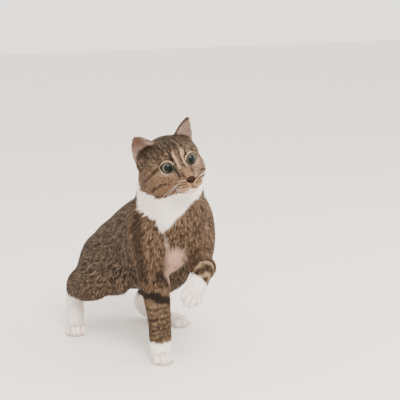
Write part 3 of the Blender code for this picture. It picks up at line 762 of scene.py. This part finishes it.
def grow(name, chance, stretch=1.0, stand=None):
    """One piece of the coat: locks strewn over the skin by this chance at each of its points."""
    weight = areas * 1e6 * chance[triangles].mean(1)
    total = int(weight.sum())
    picks = (np.arange(total) + rng.random(total)) / total * weight.sum()
    chosen = np.searchsorted(np.cumsum(weight), picks).clip(0, len(weight) - 1)
    share = rng.random((total, 2))
    share[share.sum(1) > 1] = 1 - share[share.sum(1) > 1]
    share = np.column_stack((1 - share.sum(1), share))[:, :, None]

    def at(values):
        return (values[triangles[chosen]].reshape(total, 3, -1) * share).sum(1)

    place, up = at(co), unit(at(normals))
    run = unit(at(lie if stand is None else stand))
    side = np.cross(up, run)
    # The locks turn a little from the lie, and differ in size.
    angle = (0.14 * swirl(place) + 0.13 * rng.standard_normal(total))[:, None]
    run = unit(run * np.cos(angle) + side * np.sin(angle))
    size = (0.72 + 0.56 * rng.random(total))[:, None]
    long, wide, deep = at(lock_length) * size * stretch, at(lock_width) * size, at(depth)
    rise = rng.random(total)[:, None]
    if stand is None:
        middle, middle_up, tip, tip_up = (np.empty_like(place) for _ in range(4))
        ahead = place + run * long * 0.45
        for row in range(total):
            spot, normal, face, _ = surface.find_nearest(Vector(ahead[row]))
            middle[row], middle_up[row] = spot, normal
            onward = Vector(run[row]) + Vector(lie[triangles[face][0]]) * 0.6
            onward = (onward - onward.dot(normal) * normal).normalized()
            spot, normal, _, _ = surface.find_nearest(spot + onward * (long[row, 0] * 0.55))
            tip[row], tip_up[row] = spot, normal
        seen = 0.5 * (middle + tip)
        middle += middle_up * deep * (0.45 + 0.35 * rise)
        tip += tip_up * deep * (0.70 + 0.42 * rise)
    else:
        middle, tip = place + run * long * 0.5 + up * long * 0.08, place + run * long
        middle_up = tip_up = up
        seen = place
    side = unit(np.cross(middle_up, unit(tip - place)))
    # Each lock has a root sunk in the skin, two edges and a ridge at its middle, and a tip.
    half = side * wide * 0.5
    points = [place - up * 0.0003, middle - half, middle + half, middle + middle_up * wide * 0.30, tip]
    points = np.stack(points, axis=1)
    # Light falls on a lock much as on the coat round it.
    soft = [up, unit(middle_up - 0.5 * side), unit(middle_up + 0.5 * side), middle_up]
    soft = np.stack([*soft, unit(tip_up + 0.3 * unit(tip - middle))], axis=1)
    corners = (np.arange(total)[:, None, None] * 5 + LOCK_FACES).ravel()
    made = bpy.data.meshes.new(name)
    made.vertices.add(total * 5)
    made.vertices.foreach_set("co", points.ravel())
    made.loops.add(len(corners))
    made.loops.foreach_set("vertex_index", corners)
    made.polygons.add(total * 6)
    made.polygons.foreach_set("loop_start", np.arange(total * 6) * 3)
    made.polygons.foreach_set("use_smooth", np.ones(total * 6, bool))
    made.update(calc_edges=True)
    uv = (corner_uv[triangle_loops[chosen]] * share).sum(1)
    patches = (uv[:, None] + LOCK_MAP * PATCH).reshape(-1, 2)
    made.uv_layers.new(name="OFBake").uv.foreach_set("vector", patches[corners].ravel())
    five = np.arange(total).repeat(5)
    # A lock has the marks of the skin that it covers, a little beyond its root.
    beyond = at(reach) + long * 0.6
    paint_on(made, seen[five], beyond[five, 0], part[triangles[chosen, 0]][five], at(inner_ear)[five, 0])
    give(made, "strand", "FLOAT", np.tile([0.0, 0.45, 0.45, 0.5, 1.0], total))
    give(made, "seed", "FLOAT", rng.random(total)[five])
    made.normals_split_custom_set_from_vertices(soft.reshape(-1, 3))
    made.materials.append(coat_paint)
    piece = bpy.data.objects.new(name, made)
    bpy.context.scene.collection.objects.link(piece)
    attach(piece, "root")
    return piece


COATS = {
    "coat_head": ["head"],
    "coat_ears": EARS,
    "coat_neck": ["neck"],
    "coat_chest": ["chest"],
    "coat_trunk_right": ["trunk"],
    "coat_trunk_left": ["trunk"],
    "coat_forelegs": ["foreleg_right", "foreleg_left", "forepaw_right", "forepaw_left"],
    "coat_hindleg_right": ["hindleg_right", "hindfoot_right"],
    "coat_hindleg_left": ["hindleg_left", "hindfoot_left"],
    "coat_tail": ["tail_base", "tail_middle", "tail_tip"],
}
# The trunk's coat is two pieces, parted at the spine.
SPINE_X = -0.036
right_half = (co[:, 0] < SPINE_X).astype(float)
for name, wanted in COATS.items():
    share = {"coat_trunk_right": right_half, "coat_trunk_left": 1 - right_half}.get(name, 1.0)
    grow(name, lock_count * comes_from(part, *wanted) * share)

# Longer, looser hair hangs from the edge of the belly.
hang = comes_from(part, "trunk", *THIGHS) * ramp(0.15, -0.10, normals[:, 2])
hang = hang * ramp(-0.85, -0.5, normals[:, 2]) * ramp(0.115, 0.095, co[:, 2])
hang = hang * ramp(0.062, 0.070, co[:, 2]) * ramp(0.03, 0.0, co[:, 1])
grow("coat_belly", hang * 0.5, 1.35, lie * 0.5 + normals * 0.12 + np.array([0, 0.15, -0.8]))

# Long soft hairs fan out across the ears' openings from their inner edges.
fringe = np.zeros((len(co), 3))
edge_near = np.zeros(len(co))
for side in (-1, 1):
    here = face * [side, 1, 1]
    on_ear = (here[:, 0] > 0) & (inner_ear > 0.4)
    low_edge = [EAR_FOOT, EAR_FOOT + 0.45 * (EAR_RISE - EAR_FOOT)]
    edge_near = np.where(on_ear, ramp(1.0, 0.2, distance_to(here, low_edge)), edge_near)
    fan = np.array([0.85, -0.30, 0.35]) + 0.15 * (here - EAR_FOOT)
    fringe = np.where(on_ear[:, None], (fan * [side, 1, 1]) @ FROM_HEAD[:3, :3].T, fringe)
grow("ear_fringe", edge_near * inner_ear * 1.3, 2.6, fringe)

# -------------------- eyes
# Two wet balls with a clear bulge in front, each with a pale green iris and a wide round pupil.
# They sit in the sockets behind the lids, which hold them all round.
BULGE = 0.07  # how far the clear front stands out, in centimetres
eye_paint, shader, start = new_material("eye_paint")
look = start.stored("look", 1)
parted = start.node("ShaderNodeSeparateXYZ", {}, {0: look})
out, up = parted, Shade(start.tree, parted.socket.node.outputs[1])
wide = start.math("SQRT", out * out + up * up)
spokes = (look * (1.0, 1.0, 0.0)).noise(9.0, Detail=4.0)
green = spokes.ramp(0.35, 0.7).mix(rgb("383b30"), rgb("575a4c"))
green = wide.ramp(0.60, 0.74).mix(rgb("3d3c2b"), green)
green = wide.ramp(0.80, 0.90).mix(green, rgb("15140f"))
colour = wide.ramp(0.58, 0.62).mix(rgb("040a0b"), green)
colour = wide.ramp(0.93, 1.0).mix(colour, rgb("2a241e"))
finish_paint(start, shader, colour, 0.25, 0.1)
shader.inputs["Coat Weight"].default_value = 0.08
shader.inputs["Coat Roughness"].default_value = 0.05
for side, name in EYES.items():
    bm = bmesh.new()
    bmesh.ops.create_uvsphere(bm, u_segments=64, v_segments=40, radius=EYE_BALL)
    for vert in bm.verts:
        if vert.co.z > 0:
            vert.co.z += BULGE * float(ramp(0.95, 0.0, math.hypot(vert.co.x, vert.co.y)))
    seen = np.array([vert.co for vert in bm.verts])
    axes = eye_axes(side, GAZE)
    axes[0] *= side
    for vert, spot in zip(bm.verts, out_of_head(seen @ axes + eye_middles[side])):
        vert.co = spot
    piece = new_piece("ball_" + name, bm)
    give(piece.data, "look", "FLOAT_VECTOR", seen)
    piece.data.materials.append(eye_paint)
    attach(piece, "root")
    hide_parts(name)

# -------------------- lid rims
# The bare black edge of the lids, a narrow band of hairless, slightly moist skin. It lies on each eyeball
# round its opening and keeps the coat off the eye.


def grained(name, scale, one, other, roughness, shine):
    """A material of two colours clouded together by noise of this scale."""
    material, shader, start = new_material(name)
    grain = start.node("ShaderNodeTexCoord", {}, {}, 3).noise(scale)
    finish_paint(start, shader, grain.mix(rgb(one), rgb(other)), roughness, shine)
    return material


def bridge(bm, rows, others):
    """Faces between rings of vertices and the rings beside them."""
    for one, other in zip(rows, others):
        for index, vert in enumerate(one):
            after = (index + 1) % len(one)
            bm.faces.new((vert, one[after], other[after], other[index]))


rim_paint = grained("rim_paint", 900.0, "080504", "140d0a", 0.5, 0.12)
for side, name in EYES.items():
    bm = bmesh.new()
    axes = eye_axes(side)
    rows = []
    for turn in np.linspace(0, 2 * math.pi, 97)[:-1]:
        ray = np.array([math.cos(turn), math.sin(turn)])
        spans = np.linspace(0.3, 2.0, 300)
        gaps = lid_gap(ray[0] * spans, ray[1] * spans)
        arc = spans[np.argmax(gaps > 0)]
        ring = []
        for about in np.linspace(0, 2 * math.pi, 9)[:-1]:
            angle = (arc + 0.035 + 0.085 * math.cos(about)) / EYE_BALL
            far = EYE_BALL + 0.045 + 0.055 * math.sin(about)
            flat = far * math.sin(angle)
            spot = np.array([ray[0] * flat, ray[1] * flat, far * math.cos(angle)]) @ axes
            ring.append(bm.verts.new(Vector(out_of_head(spot + eye_middles[side]))))
        rows.append(ring)
    bridge(bm, rows, rows[1:] + rows[:1])
    bmesh.ops.recalc_face_normals(bm, faces=bm.faces)
    piece = new_piece("lid_rim_" + name[4:], bm)
    piece.data.materials.append(rim_paint)
    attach(piece, "root")

# -------------------- nose leather
# Bare, finely pebbled skin at the tip of the muzzle, broad above and narrow below, with a nostril on each
# side that curls out into a slit, and a groove down its middle.
NOSE_AT = np.array([0, -3.60, -2.30])
bm = bmesh.new()
bmesh.ops.create_icosphere(bm, subdivisions=5, radius=1)
ball = np.array([vert.co for vert in bm.verts])
mirrored = np.abs(ball[:, 0])
narrow = 1 - 0.42 * ramp(0.25, -1.0, ball[:, 2])
shape = ball * [0.78, 0.36, 0.56]
shape[:, 0] *= narrow
nostril = ramp(0.34, 0.05, np.hypot((mirrored - 0.46) * 0.9, (ball[:, 2] + 0.22) * 1.15)) * (ball[:, 1] < 0)
half = np.column_stack((mirrored, ball[:, 1:]))
slit = ramp(0.16, 0.03, distance_to(half, [(0.5, -0.8, -0.25), (0.8, -0.5, -0.22), (0.95, -0.2, -0.05)]))
middle_line = ramp(0.09, 0.0, mirrored) * ramp(0.15, -0.3, ball[:, 2])
pit_shadow = np.maximum(nostril, 0.8 * slit)
shape[:, 1] += 0.17 * nostril + 0.09 * slit + 0.05 * middle_line
shape = shape @ np.array(turned(-14, "X"))[:3, :3].T + NOSE_AT
for vert, spot in zip(bm.verts, out_of_head(shape)):
    vert.co = spot
leather = new_piece("nose_leather", bm)
# Painted shadow in the nostrils, their slits and the groove down the middle.
give(leather.data, "pit_shadow", "FLOAT", np.maximum(pit_shadow, 0.5 * middle_line))
leather_paint, shader, start = new_material("leather_paint")
place = start.node("ShaderNodeTexCoord", {}, {}, 3)
pebbles = start.node("ShaderNodeTexVoronoi", {}, {"Vector": place, "Scale": 1500.0})
painted_pit_shadow = start.stored("pit_shadow")
colour = pebbles.mix(rgb("29150b"), rgb("1a0d07"))
# Painted shadow: the pits and the groove are darkened to near black.
colour = painted_pit_shadow.ramp(0.15, 0.7).mix(colour, rgb("060302"))
finish_paint(start, shader, colour, 0.6, 0.1, (pebbles, 0.35, 0.0003))
leather.data.materials.append(leather_paint)
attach(leather, "root")
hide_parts("nose")

# -------------------- claws
# Each toe ends in a hooked claw of pale horn that grows from its last bone. At rest it is drawn back between
# the toe's pads, so only the tip shows from the coat.


def ringed(bm, path, radii, count):
    """A tube along a path, this wide at each of its points and closed at both ends."""
    rows = []
    for step, spot in enumerate(path):
        ahead = Vector(path[min(step + 1, len(path) - 1)] - path[max(step - 1, 0)]).normalized()
        across = ahead.orthogonal().normalized()
        turns = np.arange(count) * math.tau / count
        spots = [across * math.cos(turn) + ahead.cross(across) * math.sin(turn) for turn in turns]
        rows.append([bm.verts.new(Vector(spot) + off * radii[step]) for off in spots])
    bridge(bm, rows, rows[1:])
    bm.faces.new(list(reversed(rows[0])))
    bm.faces.new(rows[-1])


bm = bmesh.new()
for middle, toes, back, wide, long in FEET.values():
    axes = foot_axes(toes, back)
    for across, behind, share in ((-0.72, 0.30, 0.86), (-0.25, 0.02, 1), (0.25, 0.02, 1), (0.72, 0.30, 0.86)):
        tip = np.array([across * wide, (behind - 1.04) * long / 2 - long * 0.36 * share, 0.62 * share])
        outs = np.linspace(-0.40, 0.22, 7)
        path = [tip + np.array([0, -out, 0.10 - 0.9 * max(out + 0.1, 0) ** 1.5]) for out in outs]
        path = [(np.array(middle) + spot @ axes) / 100 for spot in path]
        ringed(bm, path, np.array([0.11, 0.105, 0.095, 0.08, 0.06, 0.04, 0.012]) / 100, 8)
bmesh.ops.recalc_face_normals(bm, faces=bm.faces)
claws = new_piece("claws", bm)
claws.data.materials.append(grained("horn_paint", 700.0, "c8a892", "8f6f5c", 0.35, 0.5))
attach(claws, "root")

# -------------------- whiskers
# Stiff white bristles set in rows in the whisker pads, each a tapering, curved thread that springs out of the
# coat and droops at its end.
# Root and first direction of each in the head's frame, and its length, on the cat's left side.
BRISTLES = [
    ((1.70, -3.1, -2.35), (1.0, -0.15, 0.40), 5.4),
    ((1.90, -2.7, -2.40), (1.0, 0.10, 0.16), 6.2),
    ((1.65, -3.2, -2.80), (1.0, -0.25, 0.02), 5.2),
    ((1.95, -2.7, -2.85), (1.0, 0.10, -0.20), 6.2),
    ((1.60, -3.1, -3.20), (1.0, -0.20, -0.50), 4.8),
    ((1.90, -2.5, -3.25), (1.0, 0.15, -0.75), 5.2),
]
bm = bmesh.new()
for side in (-1, 1):
    for number, (base, way, long) in enumerate(BRISTLES):
        if side < 0:
            way = way - np.array([0.15, 0.2, 0.35 + 0.08 * number])
        way = np.array(way) / np.linalg.norm(way)
        fall = np.array([0, 0.12, -0.55 if side < 0 else -0.30])
        base = np.array(base) - 0.25 * way
        path = [base + way * long * t + fall * long * t * t * 0.5 for t in np.linspace(0, 1, 13)]
        path = [out_of_head(spot * [side, 1, 1]) for spot in path]
        # The radius at the root, in centimetres, finer on the right.
        thick = 0.015 if side > 0 else 0.004 if number < 2 else 0.009
        radii = thick * (1 - np.arange(13) / 12) ** 0.8 + 0.003
        ringed(bm, path, radii / 100, 5)
bmesh.ops.recalc_face_normals(bm, faces=bm.faces)
whiskers = new_piece("whiskers", bm)
whiskers.data.materials.append(grained("bristle_paint", 160.0, "fdfaf6", "efe6dc", 0.4, 0.5))
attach(whiskers, "root")

# -------------------- stage
# A plain floor, soft light from above and from the cat's left, and a camera before its right shoulder and a
# little above it.
bm = bmesh.new()
bmesh.ops.create_grid(bm, x_segments=1, y_segments=1, size=6)
floor = new_piece("floor", bm)
paint, shader, _ = new_material("floor_paint")
shader.inputs["Base Color"].default_value = (0.80, 0.76, 0.72, 1)
floor.data.materials.append(paint)

world = bpy.data.worlds.new("studio")
world.use_nodes = True
sky = world.node_tree.nodes["Background"].inputs
sky["Color"].default_value = (1.0, 0.945, 0.88, 1)
sky["Strength"].default_value = 2.35
bpy.context.scene.world = world


def softbox(name, place, aim, size, power, colour):
    light = bpy.data.lights.new(name, "AREA")
    light.energy = power
    light.size = size
    light.color = colour
    lamp = bpy.data.objects.new(name, light)
    lamp.location = place
    lamp.rotation_euler = (Vector(aim) - Vector(place)).to_track_quat("-Z", "Y").to_euler()
    bpy.context.scene.collection.objects.link(lamp)


softbox("key", (-0.3, -2.0, 2.0), (0, 0, 0.2), 1.2, 128, (1, 0.94, 0.88))
softbox("fill", (2.0, -0.8, 1.0), (0, 0, 0.2), 1.5, 36, (1, 0.93, 0.86))

camera = bpy.data.cameras.new("camera")
camera.lens = 108.8
camera.sensor_width = 36
eye_point = bpy.data.objects.new("camera", camera)
eye_point.location = (-0.8600, -1.7961, 0.6186)
eye_point.rotation_euler = Vector((0.46053, 0.86613, -0.19423)).to_track_quat("-Z", "Y").to_euler()
bpy.context.scene.collection.objects.link(eye_point)
bpy.context.scene.camera = eye_point
